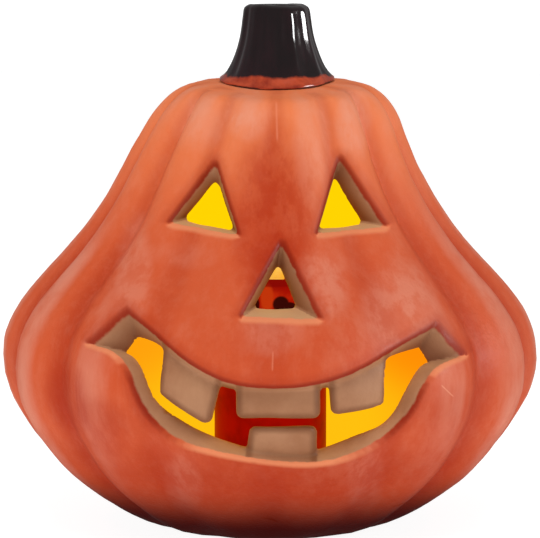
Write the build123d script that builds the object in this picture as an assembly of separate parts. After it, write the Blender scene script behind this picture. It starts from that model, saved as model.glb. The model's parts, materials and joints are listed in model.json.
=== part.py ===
"""Ceramic pumpkin lantern: a ribbed, carved shell with a glazed stem, lit by an LED pillar candle.

The candle stands on a plug that pushes into the hole in the shell's foot.
Millimetres, +Z up, face towards -Y, origin on the table under the middle of the belly.
"""
import os
from math import cos, degrees, exp, hypot, pi, radians, sin, sqrt

from build123d import *

# ---- shell ---------------------------------------------------------------------------------------
BELLY_RADIUS = 100.2         # overall, to the crest of a rib
CROWN_TOP = 165.3            # overall height without the stem
RIBS = 14                    # ribs round the pumpkin, with a groove at the middle of the face
SIDE_GROOVE = 6.0            # groove depth round the sides and back
FACE_GROOVE = 1.5            # groove depth at the middle of the face
BROW_GROOVE = 2.8            # groove depth at the middle over the eyes
CHIN_GROOVE = 3.4            # extra depth of the middle groove under the mouth
CHIN_GROOVE_WIDTH = 9.0      # degrees
GROOVE_SOFTNESS = 0.18       # 0 would give knife-sharp grooves
FACE_START = 8.0             # degrees from the middle where the grooves start to deepen
FACE_END = 52.0              # degrees where they reach the full depth
WALL = 9.0                   # wall between a rib's crest and the inside
TOOTH_RECESS = 4.5           # how far the teeth stand behind the face
FLOOR_TOP = 12.5             # inside floor of the shell
CROWN_SLOPE = 8.0            # degrees the front half of the crown slopes down under the stem
LEAN_START = 130.0           # above this the crown drifts sideways until it is under the stem
FOOT_HOLE_RADIUS = 28.0
FOOT_STEP = 3.4              # width of the step that the plug's flange sits under
FOOT_RING = 3.6              # width of the ring the pumpkin stands on
FOOT_RECESS_DEPTH = 3.8
# crest of a rib: share of the way from the foot's radius to the belly's, share of the crown's height
RIB_SHAPE = [
    (0.0, 0.0), (0.13, 0.004), (0.292, 0.028), (0.491, 0.077), (0.69, 0.14), (0.867, 0.226),
    (0.979, 0.315), (1.0, 0.375), (0.96, 0.454), (0.853, 0.523), (0.644, 0.614), (0.46, 0.705),
    (0.322, 0.796), (0.209, 0.887), (0.1135, 0.949), (0.0, 0.984), (-0.138, 1.0),
]

# ---- carved face: outlines on the outer face (x, z) and the point each cut tapers to -------------
LEFT_EYE = [(-19.4, 138.5), (-36.0, 117.0), (-11.0, 114.2)]
LEFT_EYE_APEX = (-18.0, -34.5, 118.0)
RIGHT_EYE = [(25.0, 140.2), (16.5, 114.5), (41.6, 115.5)]
RIGHT_EYE_APEX = (19.2, -36.0, 117.5)
NOSE = [(4.2, 112.5), (-10.2, 88.3), (17.7, 87.3)]
NOSE_APEX = (2.0, -62.5, 92.0)
UPPER_LIP = [(-50.0, 89.0), (-36.5, 79.5), (-17.0, 68.5), (3.5, 65.5), (22.5, 68.5),
             (37.0, 74.0), (49.0, 80.0), (58.0, 84.0)]
LOWER_LIP = [(68.5, 72.5), (58.5, 69.8), (54.5, 65.5), (50.5, 57.8), (42.5, 47.8), (32.5, 41.8),
             (20.5, 38.5), (-7.5, 40.0), (-31.5, 45.5), (-41.5, 53.0), (-46.2, 61.0),
             (-49.8, 69.5), (-54.2, 75.0), (-63.5, 77.2)]
MOUTH_APEX = (1.0, -45.0, 58.0)
MOUTH_START = 15.0           # how far in front of the belly the mouth cut starts
CUT_CORNER = 0.8             # rounding of the carved triangles' corners
# teeth, in the plane of the face (x, z); each runs into the lip it hangs on
TEETH = {
    "upper_left": [(-36.0, 84.0), (-38.5, 61.5), (-21.0, 51.5), (-15.0, 76.0)],
    "upper_middle": [(-11.0, 74.0), (-11.0, 54.5), (16.6, 54.5), (16.6, 74.0)],
    "upper_right": [(20.0, 76.0), (21.5, 55.5), (40.0, 57.0), (41.0, 80.0)],
    "lower_middle": [(-6.5, 50.6), (-8.5, 34.0), (15.5, 34.0), (15.5, 50.6)],
}
TOOTH_CORNER = 1.8

# ---- stem ----------------------------------------------------------------------------------------
STEM_X = 2.4                 # the stem stands a little to the right of the belly's axis
STEM_FLUTES = 9
FLUTE_DEPTH = 0.7
# radius, height over the crown
STEM_PROFILE = [(21.0, 0.0), (21.5, 0.6), (20.4, 1.6), (19.0, 3.0), (17.6, 5.2), (15.3, 10.5),
                (13.7, 16.0), (13.0, 20.5), (12.5, 24.6), (11.8, 26.7), (10.4, 27.9)]
STEM_SPIGOT_RADIUS = 12.0
STEM_SPIGOT_LENGTH = 8.0
STEM_CLEARANCE = 0.15        # glue gap round the spigot

# ---- base plug and its seal ----------------------------------------------------------------------
PLUG_BOTTOM = 0.8            # the plug stays clear of the table
FLANGE_CLEARANCE = 0.4
SEAT_GAP = 0.3               # between the flange and the step it sits under
PLUG_CLEARANCE = 0.8         # between the plug's skirt and the hole
PLUG_WALL = 1.6
PLUG_TOP = 12.0
SEAL_FIT = 0.1               # radial, between the seal ring and the hole
SEAL_BOTTOM = 7.0
SEAL_HEIGHT = 2.4
SEAL_DEPTH = 0.7             # how deep the ring sits in the plug
DECK_THICKNESS = 1.8
DECK_CLEARANCE = 0.15
DECK_MARGIN = 0.5            # between the deck and the cell holder
WIRE_SPACING = 5.0           # between the switch's two tags and their leads
WIRE_NOTCH = 7.4             # gap in the deck over the switch, for the leads
BOSS_RADIUS = 2.4
BOSS_INSET = 1.55            # from the deck's edge to a boss
BOSS_ANGLES = (45.0, 135.0, 270.0)
SCREW_RADIUS = 1.1
SCREW_HEAD_RADIUS = 2.1
SCREW_HEAD_HEIGHT = 1.2
SCREW_CLEARANCE = 0.2

# ---- candle --------------------------------------------------------------------------------------
CANDLE_WALL = 2.2
CANDLE_TOP = 93.0
POOL_DEPTH = 5.0             # melted hollow round the flame
POOL_FLOOR = 2.0
FLAME_HOLE = 5.0
FLAME_CLEARANCE = 0.2
FLAME_RISE = 27.0            # of the flame's tip over the candle
SPIGOT_HEIGHT = 3.0
SPIGOT_WALL = 1.45
SPIGOT_CLEARANCE = 0.1

# ---- cells and their holder ----------------------------------------------------------------------
CELL_RADIUS = 7.25
CELL_LENGTH = 50.5
CELL_NUB_RADIUS = 2.6
CELL_NUB_HEIGHT = 1.2
CELL_CLEARANCE = 0.35
HOLDER_WEB = 1.4             # wall between the two bores
HOLDER_WALL = 1.2
HOLDER_CAP = 2.6
CONTACT_THICKNESS = 0.4
NUB_GAP = 0.1
SPRING_HEIGHT = 4.2          # compressed
SPRING_RADIUS = 3.3
SPRING_WIRE = 0.35
SPRING_TURNS = 3

# ---- battery door --------------------------------------------------------------------------------
DOOR_SIDE = 0.8              # from the holder's end to the door's end
DOOR_LIP = 1.1               # from the holder's flank to the door's free edge
HINGE_LIP = 1.4              # from the holder's other flank to the hinge
DOOR_THICKNESS = 2.0
DOOR_GAP = 0.3
HINGE_RADIUS = 1.2
HINGE_HEIGHT = 1.4           # above the door's outer face
TRUNNION_RADIUS = 0.8
TRUNNION_LENGTH = 1.4
TRUNNION_FIT = 0.08
HINGE_SWING = 2.0            # room the hinge edge needs as it turns
NAIL_NOTCH = 4.0

# ---- switch --------------------------------------------------------------------------------------
SWITCH_OFFSET = 3.4          # from the nail notch to the switch
SWITCH_SIZE = (9.0, 4.4, 4.5)
KNOB_SIZE = (2.5, 2.0, 4.2)
KNOB_TRAVEL = 3.0
KNOB_CLEARANCE = 0.4

# ---- circuit and lamp ----------------------------------------------------------------------------
BOARD_RADIUS = 16.5
BOARD_THICKNESS = 1.6
STANDOFF = 1.0
LED_RADIUS = 2.5
LED_LENGTH = 8.6
LED_DROP = 1.0               # from the candle's rim down to the lamp's tip
LED_RIM = 1.0
LEAD_RADIUS = 0.3
LEAD_SPACING = 1.27
POST_RADIUS = 3.4
POST_BORE = 2.2
WIRE_RADIUS = 0.6

# ---- derived sizes -------------------------------------------------------------------------------
FOOT_RECESS_RADIUS = FOOT_HOLE_RADIUS + FOOT_STEP
FOOT_RADIUS = FOOT_RECESS_RADIUS + FOOT_RING
FLANGE_TOP = FOOT_RECESS_DEPTH - SEAT_GAP
FLANGE_RADIUS = FOOT_RECESS_RADIUS - FLANGE_CLEARANCE
PLUG_RADIUS = FOOT_HOLE_RADIUS - PLUG_CLEARANCE
DOOR_TOP = PLUG_BOTTOM + DOOR_THICKNESS
DOOR_CONTACT_TOP = DOOR_TOP + CONTACT_THICKNESS
DOWN_CELL_BOTTOM = DOOR_CONTACT_TOP + NUB_GAP
UP_CELL_BOTTOM = DOOR_CONTACT_TOP + SPRING_HEIGHT
BORE_TOP = UP_CELL_BOTTOM + CELL_LENGTH + NUB_GAP
HOLDER_TOP = BORE_TOP + CONTACT_THICKNESS + HOLDER_CAP
BOARD_BOTTOM = HOLDER_TOP + STANDOFF
BOARD_TOP = BOARD_BOTTOM + BOARD_THICKNESS
CELL_BORE = CELL_RADIUS + CELL_CLEARANCE
CELL_SPACING = CELL_BORE + HOLDER_WEB / 2          # from the axis to each cell
HOLDER_DEPTH = CELL_BORE + HOLDER_WALL             # from the axis to the holder's flank
HOLDER_REACH = CELL_SPACING + HOLDER_DEPTH         # from the axis to the holder's end
DECK_BORE = HOLDER_REACH + DECK_MARGIN
CANDLE_BORE = DECK_BORE + SPIGOT_WALL + SPIGOT_CLEARANCE
CANDLE_RADIUS = CANDLE_BORE + CANDLE_WALL
DECK_RADIUS = PLUG_RADIUS - PLUG_WALL - DECK_CLEARANCE
BOSS_CIRCLE = DECK_RADIUS - BOSS_INSET - BOSS_RADIUS
LED_TOP = CANDLE_TOP - LED_DROP
LED_SEAT = LED_TOP - LED_LENGTH
FLAME_TIP = CANDLE_TOP + FLAME_RISE
POOL_Z = CANDLE_TOP - POOL_DEPTH
DOOR_HALF_WIDTH = HOLDER_REACH + DOOR_SIDE
DOOR_EDGE = HOLDER_DEPTH + DOOR_LIP
HINGE_Y = -HOLDER_DEPTH - HINGE_LIP
HINGE_Z = PLUG_BOTTOM + HINGE_HEIGHT
OPENING_HALF_WIDTH = DOOR_HALF_WIDTH + DOOR_GAP
NOTCH_Y = DOOR_EDGE + DOOR_GAP - 1.5
SWITCH_Y = NOTCH_Y + NAIL_NOTCH + SWITCH_OFFSET + SWITCH_SIZE[1] / 2 - 0.3
WIRE_Y = HOLDER_DEPTH + 4.2                        # leads run beside the holder
RIB_PROFILE = [(FOOT_RADIUS + r * (BELLY_RADIUS - FOOT_RADIUS), z * CROWN_TOP) for r, z in RIB_SHAPE]


def ease(value, low, high):
    """Smooth step from 0 at low to 1 at high."""
    share = min(max((value - low) / (high - low), 0.0), 1.0)
    return share * share * (3 - 2 * share)


def lean(height):
    return STEM_X * ease(height, LEAN_START, CROWN_TOP)


def crest_radius(height, inset=0.0):
    """Radius of a rib's crest at a height, or of the surface lying inset behind it."""
    points = inner_profile(inset)
    for (r0, z0), (r1, z1) in zip(points, points[1:]):
        if z0 <= height <= z1:
            return r0 + (r1 - r0) * (height - z0) / (z1 - z0)
    return points[-1][0]


def inner_profile(inset):
    """The rib profile moved inwards along its own normal."""
    moved = []
    for i, (radius, height) in enumerate(RIB_PROFILE):
        before = RIB_PROFILE[max(i - 1, 0)]
        after = RIB_PROFILE[min(i + 1, len(RIB_PROFILE) - 1)]
        run, rise = after[0] - before[0], after[1] - before[1]
        length = hypot(run, rise)
        moved.append((radius - inset * rise / length, height + inset * run / length))
    return moved


def groove(angle, height):
    """Depth of the grooves at an angle from the middle of the face (radians) and a height."""
    turn = abs(degrees(angle))
    front = FACE_GROOVE + (BROW_GROOVE - FACE_GROOVE) * ease(height, 118, 156)
    depth = front + (SIDE_GROOVE - front) * ease(turn, FACE_START, FACE_END)
    foot = 0.3 + 0.7 * min(height / 14, 1.0)
    crown = 0.35 + 0.65 * min((CROWN_TOP - height) / 12, 1.0)
    wave = sqrt(sin(RIBS / 2 * angle) ** 2 + GROOVE_SOFTNESS ** 2) - GROOVE_SOFTNESS
    top = sqrt(1 + GROOVE_SOFTNESS ** 2) - GROOVE_SOFTNESS
    chin = CHIN_GROOVE * exp(-(turn / CHIN_GROOVE_WIDTH) ** 2) * (1 - ease(height, 14, 44))
    return foot * (depth * crown * (1 - wave / top) + chin)


def ribbed_ring(radius, height):
    """Closed curve round the pumpkin at one height."""
    count = RIBS * 6
    points = []
    for i in range(count):
        angle = -pi + 2 * pi * i / count
        r = radius - groove(angle, height)
        points.append((lean(height) + r * sin(angle), -r * cos(angle), height))
    return Wire([Spline(*points, periodic=True)])


def layer(inset, floor):
    """Solid inside the surface that lies inset behind the rib crests, down to a flat floor."""
    points = [(r, z) for r, z in inner_profile(inset) if z > floor + 1 and r > 15]
    roof = CROWN_TOP - inset
    start = (crest_radius(floor, inset), floor)
    side = Spline(*[(r, 0, z) for r, z in [start] + points[:-1]])
    end = side @ 1
    closing = Polyline(end, (12.0, 0, roof), (0, 0, roof), (0, 0, floor), (start[0], 0, floor))
    return revolve(make_face([side, closing]), axis=Axis.Z)


def on_face(point):
    """A point of a carved outline, placed on the rib crests."""
    x, z = point
    return Vector(x, -sqrt(crest_radius(z) ** 2 - x * x), z)


def scaled(vector, apex, factor):
    return apex + (vector - apex) * factor


def carved_triangle(outline, apex):
    """Tapered cut for an eye or the nose."""
    apex = Vector(*apex)
    corners = [on_face(point) for point in outline]
    front = Wire.make_polygon([scaled(c, apex, 1.5) for c in corners], close=True)
    back = Wire.make_polygon([scaled(c, apex, 0.2) for c in corners], close=True)
    cut = Solid.make_loft([front, back], ruled=True)
    middles = [scaled(c, apex, 0.85) for c in corners]
    sides = [e for e in cut.edges() if any((e.center() - m).length < 2 for m in middles)]
    return cut.fillet(CUT_CORNER, sides)


def mouth_cut():
    apex = Vector(*MOUTH_APEX)
    front = -BELLY_RADIUS - MOUTH_START
    flat = []
    for lip in (UPPER_LIP, LOWER_LIP):
        points = [on_face(point) for point in lip]
        flat.append([scaled(p, apex, (front - apex.Y) / (p.Y - apex.Y)) for p in points])
    upper, lower = flat
    wires = []
    for factor in (1.0, 0.12):
        top = [scaled(p, apex, factor) for p in upper]
        low = [scaled(p, apex, factor) for p in lower]
        wires.append(Wire([Spline(*top), Line(top[-1], low[0]), Spline(*low), Line(low[-1], top[0])]))
    return Solid.make_loft(wires, ruled=True)


def tooth(outline):
    """Flat-sided block through the front wall, cut to the wall's inner layer later."""
    front = BELLY_RADIUS + 10
    face = make_face(Polyline(*[(x, -front, z) for x, z in outline], close=True))
    slab = extrude(face, amount=front / 2, dir=(0, 1, 0))
    return fillet(slab.edges().filter_by(Axis.Y), TOOTH_CORNER)


def tube(outer, inner, bottom, top):
    height = top - bottom
    ring = Cylinder(outer, height) - Cylinder(inner, height)
    return Pos(0, 0, (bottom + top) / 2) * ring


def disc(radius, bottom, top, x=0.0, y=0.0):
    return Pos(x, y, (bottom + top) / 2) * Cylinder(radius, top - bottom)


def block(x0, x1, y0, y1, z0, z1):
    return Pos((x0 + x1) / 2, (y0 + y1) / 2, (z0 + z1) / 2) * Box(x1 - x0, y1 - y0, z1 - z0)


def boss_points(radius=BOSS_CIRCLE):
    return [(radius * cos(radians(a)), radius * sin(radians(a))) for a in BOSS_ANGLES]


# ---- shell ---------------------------------------------------------------------------------------
def crown_slope():
    """Space over the sloping front half of the crown."""
    reach = BELLY_RADIUS
    space = Pos(0, -reach / 2, reach / 2) * Box(2 * reach, reach, reach)
    return Pos(0, 0, CROWN_TOP) * Rot(CROWN_SLOPE, 0, 0) * space


def make_shell():
    body = Solid.make_loft([ribbed_ring(r, z) for r, z in RIB_PROFILE])
    body -= crown_slope()
    cavity = layer(WALL, FLOOR_TOP)
    body -= cavity
    body -= disc(FOOT_RECESS_RADIUS, -1, FOOT_RECESS_DEPTH)
    body -= disc(FOOT_HOLE_RADIUS, 0, FLOOR_TOP + 1)
    socket = STEM_SPIGOT_RADIUS + STEM_CLEARANCE
    body -= disc(socket, CROWN_TOP - WALL - 2, CROWN_TOP + 1, STEM_X)
    for outline, apex in ((LEFT_EYE, LEFT_EYE_APEX), (RIGHT_EYE, RIGHT_EYE_APEX), (NOSE, NOSE_APEX)):
        body -= carved_triangle(outline, apex)
    tooth_layer = layer(TOOTH_RECESS, FLOOR_TOP) - cavity
    teeth = [tooth(outline) & tooth_layer for outline in TEETH.values()]
    mouth = mouth_cut()
    for piece in teeth:
        mouth -= piece
    return body - mouth


def stem_ring(radius, height, share):
    count = STEM_FLUTES * 6
    points = []
    for i in range(count):
        angle = 2 * pi * i / count
        r = radius - FLUTE_DEPTH * share * (1 - abs(sin(STEM_FLUTES / 2 * angle)))
        points.append((STEM_X + r * cos(angle), r * sin(angle), CROWN_TOP + height))
    return Wire([Spline(*points, periodic=True)])


def make_stem():
    rings = []
    for i, (radius, height) in enumerate(STEM_PROFILE):
        share = 0.3 if i in (0, len(STEM_PROFILE) - 1) else 1.0
        rings.append(stem_ring(radius, height, share))
    body = Solid.make_loft(rings)
    body += disc(STEM_PROFILE[0][0] - 0.4, CROWN_TOP - 4, CROWN_TOP + 0.3, STEM_X) & crown_slope()
    return body + disc(STEM_SPIGOT_RADIUS, CROWN_TOP - STEM_SPIGOT_LENGTH, CROWN_TOP + 0.5, STEM_X)


# ---- plug ----------------------------------------------------------------------------------------
def make_base_plug():
    plug = disc(FLANGE_RADIUS, PLUG_BOTTOM, FLANGE_TOP)
    plug = fillet(plug.edges().group_by(Axis.Z)[0], 0.6)
    plug += tube(PLUG_RADIUS, PLUG_RADIUS - PLUG_WALL, FLANGE_TOP - 0.5, PLUG_TOP)
    plug -= tube(PLUG_RADIUS + 1, PLUG_RADIUS - SEAL_DEPTH, SEAL_BOTTOM, SEAL_BOTTOM + SEAL_HEIGHT)
    back = HINGE_Y - HINGE_SWING
    front = DOOR_EDGE + DOOR_GAP
    low, high = PLUG_BOTTOM - 1, FLANGE_TOP + 1
    plug -= block(-OPENING_HALF_WIDTH, OPENING_HALF_WIDTH, back, front, low, high)
    reach = OPENING_HALF_WIDTH + TRUNNION_LENGTH + 0.3
    hole = Cylinder(TRUNNION_RADIUS + TRUNNION_FIT, 2 * reach, rotation=(0, 90, 0))
    plug -= Pos(0, HINGE_Y, HINGE_Z) * hole
    plug -= disc(NAIL_NOTCH, low, PLUG_BOTTOM + 1.2, 0, NOTCH_Y)
    half = (KNOB_SIZE[0] + KNOB_TRAVEL) / 2 + KNOB_CLEARANCE
    width = KNOB_SIZE[1] / 2 + KNOB_CLEARANCE
    plug -= block(-half, half, SWITCH_Y - width, SWITCH_Y + width, low, high)
    sink = PLUG_BOTTOM + SCREW_HEAD_HEIGHT + SCREW_CLEARANCE
    for x, y in boss_points():
        plug -= disc(SCREW_RADIUS + SCREW_CLEARANCE, low, high, x, y)
        plug -= disc(SCREW_HEAD_RADIUS + SCREW_CLEARANCE, low, sink, x, y)
    return plug


def make_seal_ring():
    outer = FOOT_HOLE_RADIUS - SEAL_FIT
    ring = tube(outer, PLUG_RADIUS - SEAL_DEPTH, SEAL_BOTTOM, SEAL_BOTTOM + SEAL_HEIGHT)
    rims = [e for e in ring.edges().filter_by(GeomType.CIRCLE) if abs(e.radius - outer) < 0.01]
    return chamfer(rims, 0.5)


def make_base_deck():
    bottom = PLUG_TOP - DECK_THICKNESS
    deck = tube(DECK_RADIUS, DECK_BORE, bottom, PLUG_TOP)
    spigot = CANDLE_BORE - SPIGOT_CLEARANCE
    deck += tube(spigot, spigot - SPIGOT_WALL, PLUG_TOP - 0.5, PLUG_TOP + SPIGOT_HEIGHT)
    half = WIRE_NOTCH / 2
    top = PLUG_TOP + SPIGOT_HEIGHT + 1
    deck -= block(-half, half, WIRE_Y + 1.5, CANDLE_BORE - 0.2, bottom - 1, top)
    for x, y in boss_points():
        deck += disc(BOSS_RADIUS, FLANGE_TOP, bottom + 0.5, x, y)
        deck -= disc(SCREW_RADIUS, FLANGE_TOP - 1, bottom - 0.4, x, y)
    return deck


def make_screw(x, y):
    head_top = PLUG_BOTTOM + SCREW_HEAD_HEIGHT + SCREW_CLEARANCE
    screw = disc(SCREW_HEAD_RADIUS, PLUG_BOTTOM + SCREW_CLEARANCE, head_top, x, y)
    screw = chamfer(screw.edges().group_by(Axis.Z)[0], 0.4)
    screw += disc(SCREW_RADIUS, head_top - 0.2, PLUG_TOP - DECK_THICKNESS - 0.6, x, y)
    for turn in (0, 90):
        slot = Pos(x, y, PLUG_BOTTOM + 0.4) * Rot(0, 0, turn) * Box(2.4, 0.5, 0.8)
        screw -= slot
    return screw


# ---- candle --------------------------------------------------------------------------------------
def make_candle_sleeve():
    body = disc(CANDLE_RADIUS, PLUG_TOP, CANDLE_TOP)
    body = fillet(body.edges().group_by(Axis.Z)[-1], 1.0)
    pool = Pos(0, 0, POOL_Z + POOL_DEPTH) * scale(Sphere(CANDLE_BORE), (1, 1, POOL_DEPTH / CANDLE_BORE))
    body -= pool
    body -= disc(CANDLE_BORE, PLUG_TOP - 1, POOL_Z - POOL_FLOOR)
    return body - disc(FLAME_HOLE, PLUG_TOP, CANDLE_TOP + 1)


def make_flame():
    neck = FLAME_HOLE - FLAME_CLEARANCE
    low = POOL_Z - POOL_FLOOR - 0.5
    side = Spline((neck, 0, POOL_Z + 0.8), (6.0, 0, POOL_Z + 7), (5.3, 0, POOL_Z + 15),
                  (2.4, 0, POOL_Z + 25), (0, 0, FLAME_TIP))
    rest = Polyline((0, 0, FLAME_TIP), (0, 0, low), (neck, 0, low), (neck, 0, POOL_Z + 0.8))
    body = revolve(make_face([side, rest]), axis=Axis.Z)
    return body - disc(LED_RADIUS + 0.2, low - 1, LED_TOP + 0.6)


def make_led():
    dome = LED_TOP - LED_RADIUS
    led = disc(LED_RADIUS, LED_SEAT, dome) + Pos(0, 0, dome) * Sphere(LED_RADIUS)
    led += disc(LED_RADIUS + 0.4, LED_SEAT, LED_SEAT + LED_RIM)
    for side in (-1, 1):
        led += disc(LEAD_RADIUS, BOARD_TOP, LED_SEAT + 0.2, side * LEAD_SPACING)
    return led


# ---- cells ---------------------------------------------------------------------------------------
def stadium(radius, bottom, top):
    shape = block(-CELL_SPACING, CELL_SPACING, -radius, radius, bottom, top)
    for side in (-1, 1):
        shape += disc(radius, bottom, top, side * CELL_SPACING)
    return shape


def make_cell_holder():
    holder = stadium(HOLDER_DEPTH, FLANGE_TOP, HOLDER_TOP)
    seat = BORE_TOP + CONTACT_THICKNESS
    for side in (-1, 1):
        holder -= disc(CELL_BORE, FLANGE_TOP - 1, BORE_TOP, side * CELL_SPACING)
        holder -= disc(SPRING_RADIUS + 1, BORE_TOP - 1, seat, side * CELL_SPACING)
        holder += disc(1.5, HOLDER_TOP - 0.5, BOARD_BOTTOM, side * (CELL_SPACING + 5))
    return holder


def make_cell(x, bottom, nub_up):
    top = bottom + CELL_LENGTH
    low = bottom if nub_up else bottom + CELL_NUB_HEIGHT
    high = top - CELL_NUB_HEIGHT if nub_up else top
    cell = disc(CELL_RADIUS, low, high, x)
    cell = fillet(cell.edges(), 0.5)
    nub = (high - 0.1, top) if nub_up else (bottom, low + 0.1)
    return cell + disc(CELL_NUB_RADIUS, *nub, x)


def make_spring(x, bottom, height):
    """Compressed contact spring, its ends lying on the contact and the cell."""
    pitch = (height - 2 * SPRING_WIRE) / SPRING_TURNS
    path = Helix(pitch, pitch * SPRING_TURNS, SPRING_RADIUS - SPRING_WIRE)
    plane = Plane(path @ 0, z_dir=path % 0)
    coil = sweep(plane * Circle(SPRING_WIRE), path=path, is_frenet=True)
    return Pos(x, 0, bottom + SPRING_WIRE) * coil


def make_top_contact(side):
    return disc(SPRING_RADIUS + 0.8, BORE_TOP, BORE_TOP + CONTACT_THICKNESS, side * CELL_SPACING)


# ---- door ----------------------------------------------------------------------------------------
def make_battery_door():
    half = DOOR_HALF_WIDTH
    knuckle = HINGE_Y + HINGE_RADIUS
    door = block(-half, half, knuckle + 0.3, DOOR_EDGE, PLUG_BOTTOM, DOOR_TOP)
    door += block(-half, half, HINGE_Y, knuckle + 0.4, HINGE_Z - 0.6, DOOR_TOP)
    door += Pos(0, HINGE_Y, HINGE_Z) * Cylinder(HINGE_RADIUS, 2 * half, rotation=(0, 90, 0))
    reach = OPENING_HALF_WIDTH + TRUNNION_LENGTH
    door += Pos(0, HINGE_Y, HINGE_Z) * Cylinder(TRUNNION_RADIUS, 2 * reach, rotation=(0, 90, 0))
    for i in range(5):
        y = DOOR_EDGE - 1.2 - i * 1.5
        door -= block(-8, 8, y - 0.7, y, PLUG_BOTTOM - 1, PLUG_BOTTOM + 0.4)
    return door


def make_door_contact():
    plate = block(-CELL_SPACING - 5, CELL_SPACING + 5, -5, 5, DOOR_TOP, DOOR_CONTACT_TOP)
    return fillet(plate.edges().filter_by(Axis.Z), 1.5)


# ---- switch --------------------------------------------------------------------------------------
def make_switch_body():
    sx, sy, sz = SWITCH_SIZE
    body = block(-sx / 2, sx / 2, SWITCH_Y - sy / 2, SWITCH_Y + sy / 2, FLANGE_TOP, FLANGE_TOP + sz)
    half = (KNOB_SIZE[0] + KNOB_TRAVEL) / 2 + KNOB_CLEARANCE
    width = KNOB_SIZE[1] / 2 + KNOB_CLEARANCE
    top = PLUG_BOTTOM + KNOB_CLEARANCE + KNOB_SIZE[2] + KNOB_CLEARANCE
    body -= block(-half, half, SWITCH_Y - width, SWITCH_Y + width, FLANGE_TOP - 1, top)
    tag_low, tag_top = FLANGE_TOP + sz - 0.2, FLANGE_TOP + sz + 1
    for x in (-WIRE_SPACING / 2, WIRE_SPACING / 2):
        body += block(x - 0.5, x + 0.5, SWITCH_Y - 0.3, SWITCH_Y + 0.3, tag_low, tag_top)
    return body


def make_switch_knob():
    kx, ky, kz = KNOB_SIZE
    bottom = PLUG_BOTTOM + KNOB_CLEARANCE
    x0 = -(kx + KNOB_TRAVEL) / 2
    knob = block(x0, x0 + kx, SWITCH_Y - ky / 2, SWITCH_Y + ky / 2, bottom, bottom + kz)
    for i in range(3):
        x = x0 + 0.45 + i * 0.65
        knob -= block(x, x + 0.3, SWITCH_Y - ky, SWITCH_Y + ky, bottom - 1, bottom + 0.3)
    return knob


# ---- circuit -------------------------------------------------------------------------------------
def make_circuit_board():
    board = disc(BOARD_RADIUS, BOARD_BOTTOM, BOARD_TOP)
    board -= block(-4.5, 4.5, WIRE_Y - 1, BOARD_RADIUS + 1, BOARD_BOTTOM - 1, BOARD_TOP + 1)
    return board


def make_control_chip():
    chip = block(-3, 3, -11, -7, BOARD_TOP, BOARD_TOP + 1.5)
    for i in range(4):
        x = -2.3 + i * 1.5
        chip += block(x, x + 0.5, -12, -6, BOARD_TOP, BOARD_TOP + 0.4)
    return chip


def make_led_post():
    return tube(POST_RADIUS, POST_BORE, BOARD_TOP, LED_SEAT)


def make_wire(x):
    """Insulated lead from a switch tag up to the edge of the circuit board."""
    start = FLANGE_TOP + SWITCH_SIZE[2] + 1
    points = [(x, SWITCH_Y, start), (x, SWITCH_Y - 2.5, start + 4), (x, WIRE_Y, start + 9),
              (x, WIRE_Y + 0.2, start + 18)]
    height = start + 18
    bend = 0
    while height + 12 < BOARD_BOTTOM - 2:
        height += 9
        bend += 1
        points.append((x + (0.5 if bend % 2 else -0.4), WIRE_Y + 0.3 * (bend % 3), height))
    points.append((x, WIRE_Y + 0.2, BOARD_BOTTOM + 1))
    route = FilletPolyline(*points, radius=2.5)
    plane = Plane(route @ 0, z_dir=route % 0)
    return sweep(plane * Circle(WIRE_RADIUS), path=route)


# ---- nodes ---------------------------------------------------------------------------------------
nodes = {
    "pumpkin_shell": make_shell(),
    "stem": make_stem(),
    "base_plug": make_base_plug(),
    "seal_ring": make_seal_ring(),
    "base_deck": make_base_deck(),
    "candle_sleeve": make_candle_sleeve(),
    "flame_tip": make_flame(),
    "led": make_led(),
    "led_post": make_led_post(),
    "circuit_board": make_circuit_board(),
    "control_chip": make_control_chip(),
    "cell_holder": make_cell_holder(),
    "cell_up": make_cell(-CELL_SPACING, UP_CELL_BOTTOM, True),
    "cell_down": make_cell(CELL_SPACING, DOWN_CELL_BOTTOM, False),
    "contact_plus": make_top_contact(-1),
    "contact_minus": make_top_contact(1),
    "minus_spring": make_spring(CELL_SPACING, DOWN_CELL_BOTTOM + CELL_LENGTH,
                                BORE_TOP - DOWN_CELL_BOTTOM - CELL_LENGTH),
    "battery_door": make_battery_door(),
    "door_contact": make_door_contact(),
    "door_spring": make_spring(-CELL_SPACING, DOOR_CONTACT_TOP, SPRING_HEIGHT),
    "switch_body": make_switch_body(),
    "switch_knob": make_switch_knob(),
    "red_wire": make_wire(-WIRE_SPACING / 2),
    "black_wire": make_wire(WIRE_SPACING / 2),
}
for number, (x, y) in enumerate(boss_points(), start=1):
    nodes[f"base_screw_{number}"] = make_screw(x, y)

os.makedirs("parts", exist_ok=True)
for name, shape in nodes.items():
    export_step(shape, f"parts/{name}.step")
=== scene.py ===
import json
import math

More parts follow.
